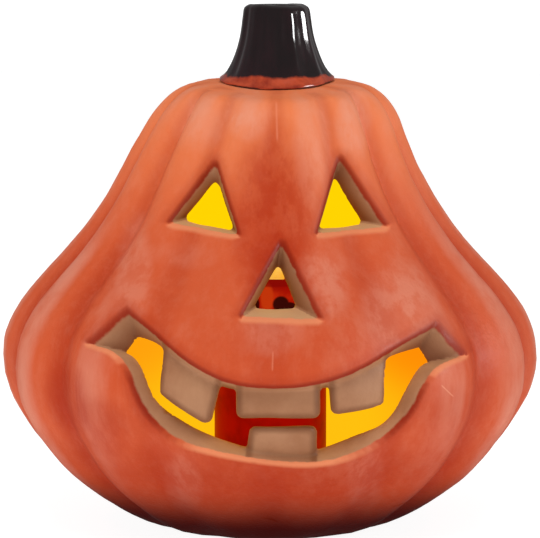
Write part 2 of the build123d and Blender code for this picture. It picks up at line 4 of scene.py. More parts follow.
import bmesh
import bpy
import numpy as np
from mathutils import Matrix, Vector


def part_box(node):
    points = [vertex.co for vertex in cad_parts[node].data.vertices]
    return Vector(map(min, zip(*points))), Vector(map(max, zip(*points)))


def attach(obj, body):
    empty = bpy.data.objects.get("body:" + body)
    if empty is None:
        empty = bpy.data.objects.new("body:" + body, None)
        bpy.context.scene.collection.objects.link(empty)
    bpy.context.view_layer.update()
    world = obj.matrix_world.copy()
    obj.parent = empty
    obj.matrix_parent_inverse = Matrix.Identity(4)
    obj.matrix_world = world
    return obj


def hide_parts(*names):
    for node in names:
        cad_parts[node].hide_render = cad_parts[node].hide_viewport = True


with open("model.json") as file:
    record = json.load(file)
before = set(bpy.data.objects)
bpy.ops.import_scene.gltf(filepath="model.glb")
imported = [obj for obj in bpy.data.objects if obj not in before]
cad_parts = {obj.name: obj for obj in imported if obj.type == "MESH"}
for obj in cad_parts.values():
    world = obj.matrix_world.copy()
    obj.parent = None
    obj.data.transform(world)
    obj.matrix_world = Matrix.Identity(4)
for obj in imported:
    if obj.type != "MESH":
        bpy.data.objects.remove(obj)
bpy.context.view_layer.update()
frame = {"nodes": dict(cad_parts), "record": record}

import openvdb
from mathutils import Vector

MM = 0.001

# ============================================================================================
# Shell shape, in millimetres, in the row frame
# ============================================================================================
shell_low, shell_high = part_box("pumpkin_shell")
CROWN = shell_high.z / MM            # top of the crown
CROWN_SLOPE = math.radians(8.0)      # the front half of the crown slopes down under the stem
STEM_X = 2.4                         # the stem stands a little right of the middle
LEAN_START = 130.0                   # height from which the ribs lean over to the stem
RIBS = 14
WALL = 9.0
RECESS = 4.5                         # the teeth stand this far behind the outer face
FLOOR = 12.5                         # height of the cavity's floor
FACE_GROOVE, BROW_GROOVE, SIDE_GROOVE = 1.5, 2.8, 6.0
GROOVE_SOFTNESS = 0.18
CHIN_GROOVE, CHIN_WIDTH = 3.4, 9.0   # depth in mm, half width in degrees
FOOT_HOLE_RADIUS, FOOT_HOLE_TOP = 28.0, 20.0
FOOT_SEAT_RADIUS, FOOT_SEAT_DEPTH = 31.4, 3.8
SOCKET_RADIUS, SOCKET_FLOOR = 12.15, 140.0
RIB_PROFILE = np.array([
    (35.0, 0.0), (43.5, 0.7), (54.0, 4.6), (67.0, 12.7), (80.0, 23.1), (91.5, 37.4),
    (98.8, 52.1), (100.2, 62.0), (97.6, 75.0), (90.6, 86.5), (77.0, 101.5), (65.0, 116.5),
    (56.0, 131.6), (48.6, 146.6), (42.4, 156.9), (35.0, 162.7), (26.0, 165.3)])

# carved outlines: the point on the outer face (x, z) and where it comes through inside
LEFT_EYE = [((-19.4, 138.5), (-17.8, 126.8)), ((-36.0, 117.0), (-29.5, 118.0)),
            ((-11.0, 114.2), (-12.9, 114.8))]
RIGHT_EYE = [((25.0, 140.2), (22.3, 128.8)), ((16.5, 114.5), (17.4, 115.6)),
             ((41.6, 115.5), (31.6, 116.4))]
NOSE = [((4.2, 112.5), (2.7, 101.3)), ((-10.2, 88.3), (-4.5, 90.6)), ((17.7, 87.3), (7.7, 90.6))]
UPPER_LIP = [((-50.0, 89.0), (-45.0, 76.3)), ((-36.5, 79.5), (-34.0, 72.5)),
             ((-17.0, 68.5), (-15.5, 64.0)), ((3.5, 65.5), (3.0, 63.0)),
             ((22.5, 68.5), (20.5, 64.0)), ((37.0, 74.0), (34.0, 68.5)),
             ((49.0, 80.0), (45.0, 72.0)), ((58.0, 84.0), (51.0, 74.0))]
LOWER_LIP = [((68.5, 72.5), (53.5, 70.0)), ((58.5, 69.8), (49.8, 68.5)),
             ((54.5, 65.5), (45.8, 64.0)), ((50.5, 57.8), (41.8, 58.5)), ((42.5, 47.8), (35.0, 51.3)),
             ((32.5, 41.8), (26.8, 46.8)), ((20.5, 38.5), (18.0, 42.8)),
             ((-7.5, 40.0), (-7.0, 43.5)), ((-22.0, 43.0), (-19.5, 47.5)),
             ((-31.5, 45.5), (-26.5, 51.2)), ((-41.5, 53.0), (-33.8, 57.8)),
             ((-46.2, 61.0), (-37.8, 64.0)), ((-49.8, 69.5), (-41.0, 69.0)),
             ((-54.2, 75.0), (-44.0, 71.8)), ((-63.5, 77.2), (-47.5, 73.4))]
TEETH = [[(-36.0, 84.0), (-38.5, 61.5), (-21.0, 51.5), (-15.0, 76.0)],
         [(-11.0, 74.0), (-11.0, 54.5), (16.6, 54.5), (16.6, 74.0)],
         [(20.0, 76.0), (21.5, 55.5), (40.0, 57.0), (41.0, 80.0)],
         [(-6.5, 50.6), (-8.5, 34.0), (15.5, 34.0), (15.5, 50.6)]]


def smooth_curve(points, count):
    """Natural cubic through the points, spaced evenly along their chords."""
    p = np.array(points, float)
    t = np.r_[0, np.cumsum(np.hypot(*np.diff(p, axis=0).T[:2]))]
    m, h = len(p), np.diff(t)
    a, b = np.eye(m), np.zeros(p.shape)
    for i in range(1, m - 1):
        a[i, i - 1], a[i, i], a[i, i + 1] = h[i - 1], 2 * (h[i - 1] + h[i]), h[i]
        b[i] = 6 * ((p[i + 1] - p[i]) / h[i] - (p[i] - p[i - 1]) / h[i - 1])
    bend = np.linalg.solve(a, b)
    u = np.linspace(0, t[-1], count)
    k = np.clip(np.searchsorted(t, u, side="right") - 1, 0, m - 2)
    hk, x, y = h[k][:, None], (t[k + 1] - u)[:, None], (u - t[k])[:, None]
    return (bend[k] * x ** 3 / (6 * hk) + bend[k + 1] * y ** 3 / (6 * hk)
            + (p[k] / hk - bend[k] * hk / 6) * x + (p[k + 1] / hk - bend[k + 1] * hk / 6) * y)


def polygon_distance(x, z, corners):
    """Signed distance from points to a closed outline, negative inside."""
    best = np.full(np.broadcast(x, z).shape, 1e9)
    inside = np.zeros(best.shape, bool)
    for i in range(len(corners)):
        (ax, az), (bx, bz) = corners[i - 1], corners[i]
        ex, ez = bx - ax, bz - az
        wx, wz = x - ax, z - az
        t = np.clip((wx * ex + wz * ez) / max(ex * ex + ez * ez, 1e-12), 0, 1)
        best = np.minimum(best, (wx - t * ex) ** 2 + (wz - t * ez) ** 2)
        crosses = (az > z) != (bz > z)
        with np.errstate(divide="ignore", invalid="ignore"):
            at = ax + (z - az) * ex / (ez if abs(ez) > 1e-12 else 1e-12)
        inside ^= crosses & (x < at)
    return np.where(inside, -1, 1) * np.sqrt(best)


def rounded_max(a, b, k):
    h = np.maximum(k - np.abs(a - b), 0) / k
    return np.maximum(a, b) + h * h * k * 0.25


def ease(value, low, high):
    t = np.clip((value - low) / (high - low), 0, 1)
    return t * t * (3 - 2 * t)


class Grid2:
    """Values on a regular (u, v) grid, read with linear interpolation."""

    def __init__(self, values, u0, v0, step):
        self.values, self.u0, self.v0, self.step = values, u0, v0, step

    def __call__(self, u, v):
        i = np.clip((u - self.u0) / self.step, 0, self.values.shape[0] - 1.001)
        j = np.clip((v - self.v0) / self.step, 0, self.values.shape[1] - 1.001)
        i0, j0 = i.astype(np.int32), j.astype(np.int32)
        fi, fj = i - i0, j - j0
        g = self.values
        return ((g[i0, j0] * (1 - fi) + g[i0 + 1, j0] * fi) * (1 - fj)
                + (g[i0, j0 + 1] * (1 - fi) + g[i0 + 1, j0 + 1] * fi) * fj)


def make_profile_grid():
    """Distance to the rib crest's outline, as if the pumpkin were round; the axis isn't a wall."""
    curve = smooth_curve(RIB_PROFILE, 260)
    outline = [tuple(p) for p in curve] + [(-60.0, CROWN), (-60.0, 0.0)]
    step = 0.5
    r = np.arange(-4, 116, step)[:, None]
    z = np.arange(-8, 178, step)[None, :]
    values = polygon_distance(np.abs(r) + 0 * z, z + 0 * r, outline)
    return Grid2(values.astype(np.float32), -4, -8, step)


PROFILE = make_profile_grid()


def around(x, y, z):
    """Radius and angle from the middle of the face, about an axis that leans to the stem at the crown."""
    x = x - STEM_X * ease(z, LEAN_START, CROWN)
    return np.hypot(x, y), np.arctan2(x, -y)


def groove(theta, z):
    """How far the surface lies behind the rib crests, and how much of a groove it is (0 to 1)."""
    turn = np.abs(np.degrees(theta))
    front = FACE_GROOVE + (BROW_GROOVE - FACE_GROOVE) * ease(z, 118, 156)
    depth = front + (SIDE_GROOVE - front) * ease(turn, 8, 52)
    foot = 0.3 + 0.7 * np.clip(z / 14, 0, 1)
    crown = 0.35 + 0.65 * np.clip((CROWN - z) / 12, 0, 1)
    soft = GROOVE_SOFTNESS
    wave = np.sqrt(np.sin(RIBS / 2 * theta) ** 2 + soft ** 2) - soft
    share = 1 - wave / (math.sqrt(1 + soft ** 2) - soft)
    chin = np.exp(-(turn / CHIN_WIDTH) ** 2) * (1 - ease(z, 14, 44))
    return foot * (depth * crown * share + CHIN_GROOVE * chin), share


def outer_distance(x, y, z):
    r, theta = around(x, y, z)
    depth, _ = groove(theta, z)
    ripple = 0.18 * np.sin(theta * 9 + z * 0.07 + 1.3) * np.sin(z * 0.11 + theta * 4)
    ripple = ripple + 0.12 * np.sin(theta * 23 + z * 0.23) * np.sin(z * 0.31 - theta * 11)
    slope = (z - CROWN) * math.cos(CROWN_SLOPE) - y * math.sin(CROWN_SLOPE)
    return rounded_max(PROFILE(r + depth + ripple, z), slope, 1.5)


SLICES = np.linspace(-0.8, 1.8, 53)


def make_opening(pairs, rounding):
    """Distance to a tapered opening as a stack of slices through the wall."""
    outer = np.array([p[0] for p in pairs], float)
    inner = np.array([p[1] for p in pairs], float)
    both = np.vstack([outer, inner])
    x0, x1 = both[:, 0].min() - 14, both[:, 0].max() + 14
    z0, z1 = both[:, 1].min() - 14, both[:, 1].max() + 14
    step = 0.5
    x = np.arange(x0, x1, step)[:, None]
    z = np.arange(z0, z1, step)[None, :]
    stack = []
    for s in SLICES:
        reach = s if s < 1 else 1 + (s - 1) * 0.3
        corners = outer + (inner - outer) * reach
        round_by = rounding[0] + (rounding[1] - rounding[0]) * np.clip(s, 0, 1)
        if round_by > 0.3 and len(corners) == 3:
            corners = shrink_outline(corners, round_by)
        else:
            round_by = 0
        stack.append(polygon_distance(x + 0 * z, z + 0 * x, corners) - round_by)
    return np.array(stack, np.float32), x0, z0, step, (x0, x1, z0, z1)


def shrink_outline(corners, by):
    """The outline moved in on all sides by a distance."""
    c = np.array(corners, float)
    out = []
    for i in range(len(c)):
        p, q, r = c[i - 1], c[i], c[(i + 1) % len(c)]
        a, b = (p - q) / np.linalg.norm(p - q), (r - q) / np.linalg.norm(r - q)
        half = math.acos(np.clip(np.dot(a, b), -1, 1)) / 2
        mid = (a + b) / np.linalg.norm(a + b)
        out.append(q + mid * by / math.sin(half))
    return np.array(out)


def read_opening(opening, x, z, s):
    stack, x0, z0, step, (xa, xb, za, zb) = opening
    k = np.clip((s - SLICES[0]) / (SLICES[1] - SLICES[0]), 0, len(SLICES) - 1.001)
    i = np.clip((x - x0) / step, 0, stack.shape[1] - 1.001)
    j = np.clip((z - z0) / step, 0, stack.shape[2] - 1.001)
    k0, i0, j0 = k.astype(np.int32), i.astype(np.int32), j.astype(np.int32)
    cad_, fi, fj = k - k0, i - i0, j - j0
    total = 0
    for dk, wk in ((0, 1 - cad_), (1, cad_)):
        for di, wi in ((0, 1 - fi), (1, fi)):
            for dj, wj in ((0, 1 - fj), (1, fj)):
                total = total + stack[k0 + dk, i0 + di, j0 + dj] * wk * wi * wj
    away = np.maximum(np.maximum(xa - x, x - xb), np.maximum(za - z, z - zb))
    return total + np.maximum(away, 0)


def lip_pairs(points, count):
    flat = np.array([[*outer, *inner] for outer, inner in points], float)
    fine = smooth_curve(flat, count)
    return [((p[0], p[1]), (p[2], p[3])) for p in fine]


MOUTH = lip_pairs(UPPER_LIP, 40) + lip_pairs(LOWER_LIP, 60)
OPENINGS = [make_opening(LEFT_EYE, (0.5, 1.2)), make_opening(RIGHT_EYE, (0.5, 1.0)),
            make_opening(NOSE, (0.5, 0.8))]
MOUTH_OPENING = make_opening(MOUTH, (0, 0))


def tooth_outline(x, z, tooth):
    """Distance to a tooth's outline, its corners rounded."""
    return polygon_distance(x, z, shrink_outline(tooth, 2.0)) - 2.0


def tooth_distance(x, z, into):
    """The four teeth as posts that start behind the face."""
    total = None
    for tooth in TEETH:
        d = tooth_outline(x, z, tooth)
        d = rounded_max(d - 0.25 * np.clip(into - RECESS, 0, 3), RECESS - into, 2.0)
        total = d if total is None else np.minimum(total, d)
    return total


def opening_distance(x, y, z, outer):
    """Distance to the carved openings, negative in them. outer is the distance to the outer face."""
    s = -outer / WALL
    total = np.full(x.shape, 40.0)
    front = (y < -8) & (np.abs(x) < 84) & (z > 24) & (z < 154)
    if not front.any():
        return total
    fx, fz, fs = x[front], z[front], s[front]
    near = read_opening(MOUTH_OPENING, fx, fz, fs)
    teeth = tooth_distance(fx, fz, -outer[front])
    near = rounded_max(near, -teeth, 1.2)
    for opening in OPENINGS:
        near = np.minimum(near, read_opening(opening, fx, fz, fs))
    total[front] = np.minimum(near, 40)
    return total


def shell_parts(x, y, z):
    outer = outer_distance(x, y, z)
    r = np.hypot(x, y)
    cavity = rounded_max(PROFILE(r, z) + WALL, FLOOR - z, 5.0)
    opening = opening_distance(x, y, z, outer)
    return outer, cavity, opening, r


def shell_distance(x, y, z):
    outer, cavity, opening, r = shell_parts(x, y, z)
    solid = rounded_max(outer, -cavity, 0.6)
    bore = np.where(z < 80, np.maximum(r - FOOT_HOLE_RADIUS, z - FOOT_HOLE_TOP), 50.0)
    recess = rounded_max(r - FOOT_SEAT_RADIUS, z - FOOT_SEAT_DEPTH, 0.4)
    solid = rounded_max(solid, -np.minimum(bore, recess), 0.8)
    socket = np.maximum(np.hypot(x - STEM_X, y) - SOCKET_RADIUS, SOCKET_FLOOR - z)
    solid = np.maximum(solid, -socket)
    return rounded_max(solid, -opening, 2.2)


def polygonise(distance, low, high, voxel, adaptivity):
    """Mesh of the zero surface of a distance function, in millimetres."""
    axes = [np.arange(a, b + voxel, voxel) for a, b in zip(low, high)]
    field = np.empty([len(a) for a in axes], np.float32)
    slab = 12
    for k in range(0, len(axes[2]), slab):
        x, y, z = np.meshgrid(axes[0], axes[1], axes[2][k:k + slab], indexing="ij")
        field[:, :, k:k + slab] = distance(x, y, z)
    band = 3 * voxel
    grid = openvdb.FloatGrid(background=band)
    grid.copyFromArray(np.clip(field, -band, band))
    points, tris, quads = grid.convertToPolygons(isovalue=0.0, adaptivity=adaptivity)
    points = points * voxel + np.array(low)
    for _ in range(2):
        value, slope = gradient(distance, points)
        size = np.maximum((slope ** 2).sum(1), 0.2)
        move = np.clip(value / size, -0.4 * voxel, 0.4 * voxel)[:, None] * slope
        points = points - move
    _, slope = gradient(distance, points)
    slope /= np.maximum(np.linalg.norm(slope, axis=1), 1e-6)[:, None]
    return points, tris, quads, slope


def gradient(distance, points, h=0.25):
    x, y, z = points.T
    value = distance(x, y, z)
    slope = np.stack([distance(x + h, y, z) - distance(x - h, y, z),
                      distance(x, y + h, z) - distance(x, y - h, z),
                      distance(x, y, z + h) - distance(x, y, z - h)], 1) / (2 * h)
    return value, slope


def mesh_object(name, points, faces, normals=None, attributes=None):
    mesh = bpy.data.meshes.new(name)
    mesh.from_pydata((np.asarray(points) * MM).tolist(), [], faces)
    mesh.validate()
    for key, values in (attributes or {}).items():
        layer = mesh.attributes.new(key, "FLOAT", "POINT")
        layer.data.foreach_set("value", np.asarray(values, np.float32))
    mesh.polygons.foreach_set("use_smooth", [True] * len(mesh.polygons))
    if normals is not None:
        mesh.normals_split_custom_set_from_vertices(normals.tolist())
    obj = bpy.data.objects.new(name, mesh)
    bpy.context.scene.collection.objects.link(obj)
    return obj


def make_shell():
    voxel = 0.85
    low, high = (-103.0, -101.0, -2.0), (103.0, 101.0, 167.5)
    points, tris, quads, normals = polygonise(shell_distance, low, high, voxel, 0.05)
    faces = quads.tolist() + tris.tolist()
    x, y, z = points.T
    outer, cavity, opening, r = shell_parts(x, y, z)
    _, share = groove(around(x, y, z)[1], z)
    _, away = gradient(lambda *p: opening_distance(*p, outer_distance(*p)), points)
    below = -away[:, 2] / np.maximum(np.linalg.norm(away, axis=1), 1e-6)
    tooth = np.minimum.reduce([tooth_outline(x, z, t) for t in TEETH])
    attributes = {
        "depth": -outer,             # mm behind the outer face
        "inside": cavity,            # mm outside the cavity wall
        "rim": opening,              # mm from the nearest carved edge
        "groove": share,
        "below": below,              # 1 under a carved edge, -1 over it
        "tooth": tooth,              # mm outside a tooth's outline
    }
    return mesh_object("shell_body", points, faces, normals, attributes)


# ============================================================================================
# Materials
# ============================================================================================
class Nodes:
    """Short names for building a node material."""

    def __init__(self, name):
        self.material = bpy.data.materials.new(name)
        self.material.use_nodes = True
        self.tree = self.material.node_tree
        self.tree.nodes.clear()
        self.out = self.add("ShaderNodeOutputMaterial")
        self.bsdf = self.add("ShaderNodeBsdfPrincipled")
        self.link(self.bsdf.outputs[0], self.out.inputs[0])

    def add(self, kind, **values):
        node = self.tree.nodes.new(kind)
        for key, value in values.items():
            setattr(node, key, value)
        return node

    def link(self, a, b):
        self.tree.links.new(a, b)

    def put(self, socket, value):
        if isinstance(value, bpy.types.NodeSocket):
            self.link(value, socket)
        elif isinstance(value, (tuple, list)) and len(value) == 3 and socket.type == "RGBA":
            socket.default_value = (*value, 1)
        else:
            socket.default_value = value

    def math(self, operation, a, b=0.0, clamp=False):
        node = self.add("ShaderNodeMath", operation=operation, use_clamp=clamp)
        self.put(node.inputs[0], a)
        self.put(node.inputs[1], b)
        return node.outputs[0]

    def attribute(self, name):
        return self.add("ShaderNodeAttribute", attribute_name=name).outputs["Fac"]

    def position(self):
        return self.add("ShaderNodeTexCoord").outputs["Object"]

    def axis(self, which):
        node = self.add("ShaderNodeSeparateXYZ")
        self.link(self.position(), node.inputs[0])
        return node.outputs[which]

    def scaled_position(self, scale):
        node = self.add("ShaderNodeMapping")
        self.link(self.position(), node.inputs[0])
        node.inputs["Scale"].default_value = scale
        return node.outputs[0]

    def noise(self, scale, detail=4.0, roughness=0.55, stretch=(1, 1, 1), distortion=0.0):
        node = self.add("ShaderNodeTexNoise")
        self.link(self.scaled_position(stretch), node.inputs["Vector"])
        node.inputs["Scale"].default_value = scale
        node.inputs["Detail"].default_value = detail
        node.inputs["Roughness"].default_value = roughness
        node.inputs["Distortion"].default_value = distortion
        return node.outputs["Fac"]

    def range(self, value, low, high, to_low=0.0, to_high=1.0, smooth=True):
        node = self.add("ShaderNodeMapRange", interpolation_type="SMOOTHSTEP" if smooth else "LINEAR")
        self.put(node.inputs["Value"], value)
        node.inputs["From Min"].default_value = low
        node.inputs["From Max"].default_value = high
        node.inputs["To Min"].default_value = to_low
        node.inputs["To Max"].default_value = to_high
        return node.outputs["Result"]

    def mix(self, factor, a, b, blend="MIX"):
        node = self.add("ShaderNodeMix", data_type="RGBA", blend_type=blend)
        self.put(node.inputs["Factor"], factor)
        self.put(node.inputs[6], a)
        self.put(node.inputs[7], b)
        return node.outputs[2]

    def bump(self, height, strength, distance):
        node = self.add("ShaderNodeBump")
        self.put(node.inputs["Height"], height)
        node.inputs["Strength"].default_value = strength
        node.inputs["Distance"].default_value = distance
        self.link(node.outputs[0], self.bsdf.inputs["Normal"])
        return node

    def set(self, **values):
        for key, value in values.items():
            self.put(self.bsdf.inputs[key.replace("_", " ")], value)
        return self


def srgb(r, g, b):
    """Linear colour of a display colour given as 0 to 255."""
    return tuple((c / 255 / 12.92) if c / 255 <= 0.04045 else ((c / 255 + 0.055) / 1.055) ** 2.4
                 for c in (r, g, b))


def spot(m, x, z, wide, high, soft):
    """1 inside an upright oval seen from the front, centred at (x, z) in metres, falling off softly."""
    dx = m.math("DIVIDE", m.math("SUBTRACT", m.axis(0), x), wide)
    dz = m.math("DIVIDE", m.math("SUBTRACT", m.axis(2), z), high)
    square = m.math("ADD", m.math("MULTIPLY", dx, dx), m.math("MULTIPLY", dz, dz))
    front = m.range(m.axis(1), -0.005, -0.02)
    return m.math("MULTIPLY", m.range(square, 1.0 + soft, 1.0 - soft), front)


def stroke_line(m, x0, z0, x1, z1, wide):
    """1 on a straight stroke seen from the front, ends in metres, fading out over its half width."""
    run, climb = x1 - x0, z1 - z0
    length = math.hypot(run, climb)
    dx, dz = m.math("SUBTRACT", m.axis(0), (x0 + x1) / 2), m.math("SUBTRACT", m.axis(2), (z0 + z1) / 2)
    along = m.math("ADD", m.math("MULTIPLY", dx, run / length), m.math("MULTIPLY", dz, climb / length))
    across = m.math("SUBTRACT", m.math("MULTIPLY", dx, climb / length), m.math("MULTIPLY", dz, run / length))
    share = m.math("MULTIPLY", m.range(m.math("ABSOLUTE", across), wide, 0.0),
                   m.range(m.math("ABSOLUTE", along), length * 0.5, length * 0.35))
    return m.math("MULTIPLY", share, m.range(m.axis(1), -0.005, -0.02))


# chalky places, those near the crown partly painted highlights on the rib crests, deep-coloured places and
# thin strokes on the face, in metres:
# x, height, half width, half height, share
CHALK_AND_HIGHLIGHT_SPOTS = ((0.015, 0.144, 0.006, 0.018, 0.3), (-0.008, 0.155, 0.007, 0.008, 0.5),
               (0.030, 0.152, 0.006, 0.012, 0.5), (-0.026, 0.152, 0.009, 0.009, 0.35),
               (-0.048, 0.100, 0.006, 0.016, 0.3), (0.018, 0.098, 0.008, 0.010, 0.3),
               (0.045, 0.086, 0.012, 0.016, 0.4), (-0.030, 0.107, 0.010, 0.004, 0.15),
               (0.033, 0.030, 0.006, 0.014, 0.3), (-0.030, 0.028, 0.006, 0.012, 0.35),
               (0.0, 0.083, 0.010, 0.006, 0.3))
DEEP_SPOTS = ((0.0010, 0.120, 0.013, 0.028, 0.75), (0.0, 0.034, 0.055, 0.012, 0.45),
              (-0.071, 0.056, 0.008, 0.012, 0.6), (-0.059, 0.048, 0.010, 0.010, 0.5),
              (0.060, 0.050, 0.010, 0.012, 0.3), (0.0, 0.076, 0.030, 0.010, 0.2))
# from x, height to x, height, half width, share, display colour
FACE_LINES = ((0.0026, 0.145, 0.0022, 0.160, 0.0006, 0.3, (246, 160, 128)),
              (0.0008, 0.071, 0.0010, 0.078, 0.0005, 0.35, (240, 150, 118)),
              (0.0590, 0.0640, 0.0640, 0.0588, 0.0004, 0.4, (250, 176, 140)))


def ceramic_material():
    m = Nodes("orange_ceramic")
    z = m.axis(2)
    depth, inside, rim, channel = (m.attribute(n) for n in ("depth", "inside", "rim", "groove"))
    below, tooth = m.attribute("below"), m.attribute("tooth")
    # painted outer face: lighter towards the crown, a painted highlight standing in for the top light, and
    # darker in the grooves of the sides, painted shade
    paint = m.mix(m.range(z, 0.100, 0.165), srgb(217, 92, 52), srgb(244, 132, 82))
    cloud = m.noise(15, 5, 0.6, (1, 1, 0.6))
    paint = m.mix(m.range(cloud, 0.42, 0.72, 0.0, 0.25), paint, srgb(200, 62, 24))
    # painted shade: darker in the grooves of the side ribs
    side = m.range(m.math("ABSOLUTE", m.axis(0)), 0.03, 0.07, 0.3, 0.6)
    paint = m.mix(m.math("MULTIPLY", m.range(channel, 0.35, 1.0), side), paint, srgb(180, 50, 20))
    # dry-wiped chalk: fine upright strokes, thicker on the crests
    streak = m.range(m.noise(150, 5, 0.65, (1, 1, 0.10)), 0.36, 0.66)
    patch = m.range(m.noise(16, 4, 0.55, (1, 1, 0.6)), 0.42, 0.70, 0.05, 0.7)
    chalk = m.math("MULTIPLY", m.math("MULTIPLY", streak, patch), m.range(channel, 0.1, 0.75, 0.28, 0.04))
    paint = m.mix(chalk, paint, srgb(234, 158, 128))
    grit = m.math("MULTIPLY", m.range(m.noise(260, 4, 0.7, (1, 1, 0.5)), 0.40, 0.70), 0.08)
    paint = m.mix(grit, paint, srgb(236, 160, 132))
    # paler crests on the side ribs and the crown: partly dry-wiped chalk, partly a painted highlight where
    # the light catches the crests, broken up by noise
    crest_patchiness = m.range(m.noise(60, 4, 0.6, (1, 1, 0.4)), 0.25, 0.65, 0.2, 1.0)
    crest = m.math("MULTIPLY", m.range(channel, 0.30, 0.0), crest_patchiness)
    high = m.math("MAXIMUM", m.range(m.math("ABSOLUTE", m.axis(0)), 0.045, 0.075, 0.0, 0.45),
                  m.range(z, 0.140, 0.160, 0.0, 0.25))
    paint = m.mix(m.math("MULTIPLY", crest, high), paint, srgb(238, 172, 148))
    # chalk and painted highlights at the listed spots
    for x, h, wide, tall, share in CHALK_AND_HIGHLIGHT_SPOTS:
        stroke = m.math("MULTIPLY", spot(m, x, h, wide, tall, 0.9), share)
        stroke = m.math("MULTIPLY", stroke, m.range(streak, 0, 1, 0.4, 0.9))
        paint = m.mix(stroke, paint, srgb(240, 166, 140))
    # richer, unwiped paint
    for x, h, wide, tall, share in DEEP_SPOTS:
        stroke = m.math("MULTIPLY", spot(m, x, h, wide, tall, 0.95),
                        m.range(streak, 0, 1, share, share * 0.7))
        paint = m.mix(stroke, paint, srgb(178, 40, 4))
    for x0, h0, x1, h1, wide, share, tint in FACE_LINES:
        paint = m.mix(m.math("MULTIPLY", stroke_line(m, x0, h0, x1, h1, wide), share), paint, srgb(*tint))
    # painted shade: darker towards the foot, standing in for the shade under the body
    paint = m.mix(m.range(z, 0.050, 0.018, 0.0, 0.55), paint, srgb(140, 26, 8))
    paint = m.mix(m.range(z, 0.028, 0.006, 0.0, 0.98), paint, srgb(60, 0, 0))
    # darker along the carved edges, partly pooled paint and partly painted shade on the rounded edges that
    # face down; a painted highlight along the edges under an opening, whose rounding faces up
    pool = m.math("MULTIPLY", m.range(rim, 1.9, 0.3), m.range(below, 0.75, 0.3, 0.0, 0.8))
    paint = m.mix(pool, paint, srgb(120, 24, 8))
    pool = m.math("MULTIPLY", m.range(rim, 5.0, 1.0), m.range(below, 0.75, 0.3, 0.0, 0.35))
    paint = m.mix(pool, paint, srgb(170, 40, 8))
    # painted highlight along the lower carved edges
    lower_edge_highlight = m.math("MULTIPLY", m.range(rim, 2.3, 0.6), m.range(below, 0.6, 0.85, 0.0, 0.85))
    paint = m.mix(lower_edge_highlight, paint, srgb(246, 150, 104))
    # bare clay of the cut walls and teeth, with painted shade and painted light on them
    clay = m.mix(m.range(m.noise(34, 5), 0.35, 0.7), srgb(190, 138, 102), srgb(168, 114, 80))
    clay = m.mix(m.range(m.noise(90, 5, 0.6, (1, 1, 0.3)), 0.4, 0.75, 0.0, 0.3), clay, srgb(150, 96, 64))
    # painted shade: the teeth darken towards their edges, next to the gaps
    edge = m.math("MULTIPLY", m.range(tooth, -2.6, -0.4), m.range(tooth, 1.2, 0.2))
    clay = m.mix(m.math("MULTIPLY", edge, 0.55), clay, srgb(112, 62, 34))
    wall = m.math("MULTIPLY", m.range(depth, 1.0, 7.0, 0.25, 1.0), m.range(tooth, 0.2, 1.5, 0.0, 0.85))
    shade = m.mix(m.range(z, 0.100, 0.110), srgb(128, 76, 48), srgb(122, 58, 24))
    clay = m.mix(m.math("MULTIPLY", wall, m.range(below, 0.7, 0.1, 0.1, 1.0)), clay, shade)
    # painted light: the up-facing ledges under the openings are made lighter, as if lit from above
    ledge = m.math("MULTIPLY", m.range(below, 0.70, 0.90), m.range(z, 0.075, 0.085, 0.2, 0.75))
    clay = m.mix(m.math("MULTIPLY", ledge, m.range(tooth, 0.2, 1.5)), clay, srgb(222, 170, 122))
    ragged = m.math("ADD", depth, m.range(m.noise(220, 4, 0.6), 0.3, 0.7, -0.2, 0.2))
    colour = m.mix(m.range(ragged, 1.0, 1.7), paint, clay)
    # inner wall glows by emission: painted light standing in for the candle's light on it, yellow up high,
    # oranger low and out to the sides
    glow_share = m.range(inside, 0.75, 0.25)
    colour = m.mix(glow_share, colour, srgb(120, 60, 10))
    rough = m.range(m.noise(70, 3), 0.3, 0.7, 0.46, 0.62)
    m.set(Base_Color=colour, Roughness=rough, Specular_IOR_Level=m.range(z, 0.02, 0.05, 0.02, 0.12))
    out = m.math("ABSOLUTE", m.axis(0))
    far = m.math("ADD", m.range(out, 0.015, 0.065, 0.0, 0.5), m.range(z, 0.028, 0.058, 0.0, 0.5))
    warm = m.mix(m.range(m.axis(0), -0.02, 0.02), srgb(248, 164, 14), srgb(251, 144, 5))
    low = m.mix(m.range(far, 0.15, 0.95), srgb(253, 198, 16), warm)
    glow = m.mix(m.range(z, 0.064, 0.100), low, srgb(253, 218, 2))
    m.set(Emission_Color=glow)
    m.set(Emission_Strength=m.math("MULTIPLY", glow_share, 0.9))
    grain = m.math("ADD", m.noise(900, 2, 0.5), m.math("MULTIPLY", m.noise(120, 4, 0.6), 0.8))
    m.bump(grain, 0.25, 0.0006)
    return m.material


def glaze_material():
    m = Nodes("stem_glaze")
    z = m.axis(2)
    above = m.math("SUBTRACT", z, CROWN * MM)
    wave = m.range(m.noise(120, 3, 0.5), 0.3, 0.7, -0.0007, 0.0007)
    front = m.math("MULTIPLY", m.math("MINIMUM", m.axis(1), 0.0), math.tan(CROWN_SLOPE))
    rise = m.math("SUBTRACT", above, front)
    black = m.mix(m.range(m.noise(60, 4, 0.6, (1, 1, 0.2)), 0.4, 0.7), srgb(20, 8, 10), srgb(38, 14, 20))
    body = m.mix(m.range(m.noise(90, 4, 0.6), 0.35, 0.65), srgb(196, 76, 40), srgb(140, 36, 14))
    colour = m.mix(m.range(m.math("ADD", above, wave), 0.0009, 0.0022), body, black)
    seam = m.range(m.math("ADD", rise, m.math("MULTIPLY", wave, 0.4)), 0.0008, 0.0003)
    colour = m.mix(seam, colour, srgb(70, 22, 18))
    m.set(Base_Color=colour, Roughness=m.range(m.noise(200, 3), 0.3, 0.7, 0.11, 0.18), Specular_IOR_Level=0.5)
    m.set(Coat_Weight=0.1, Coat_Roughness=0.06)
    m.bump(m.noise(170, 3, 0.5, (1, 1, 0.3)), 0.18, 0.0007)
    return m.material


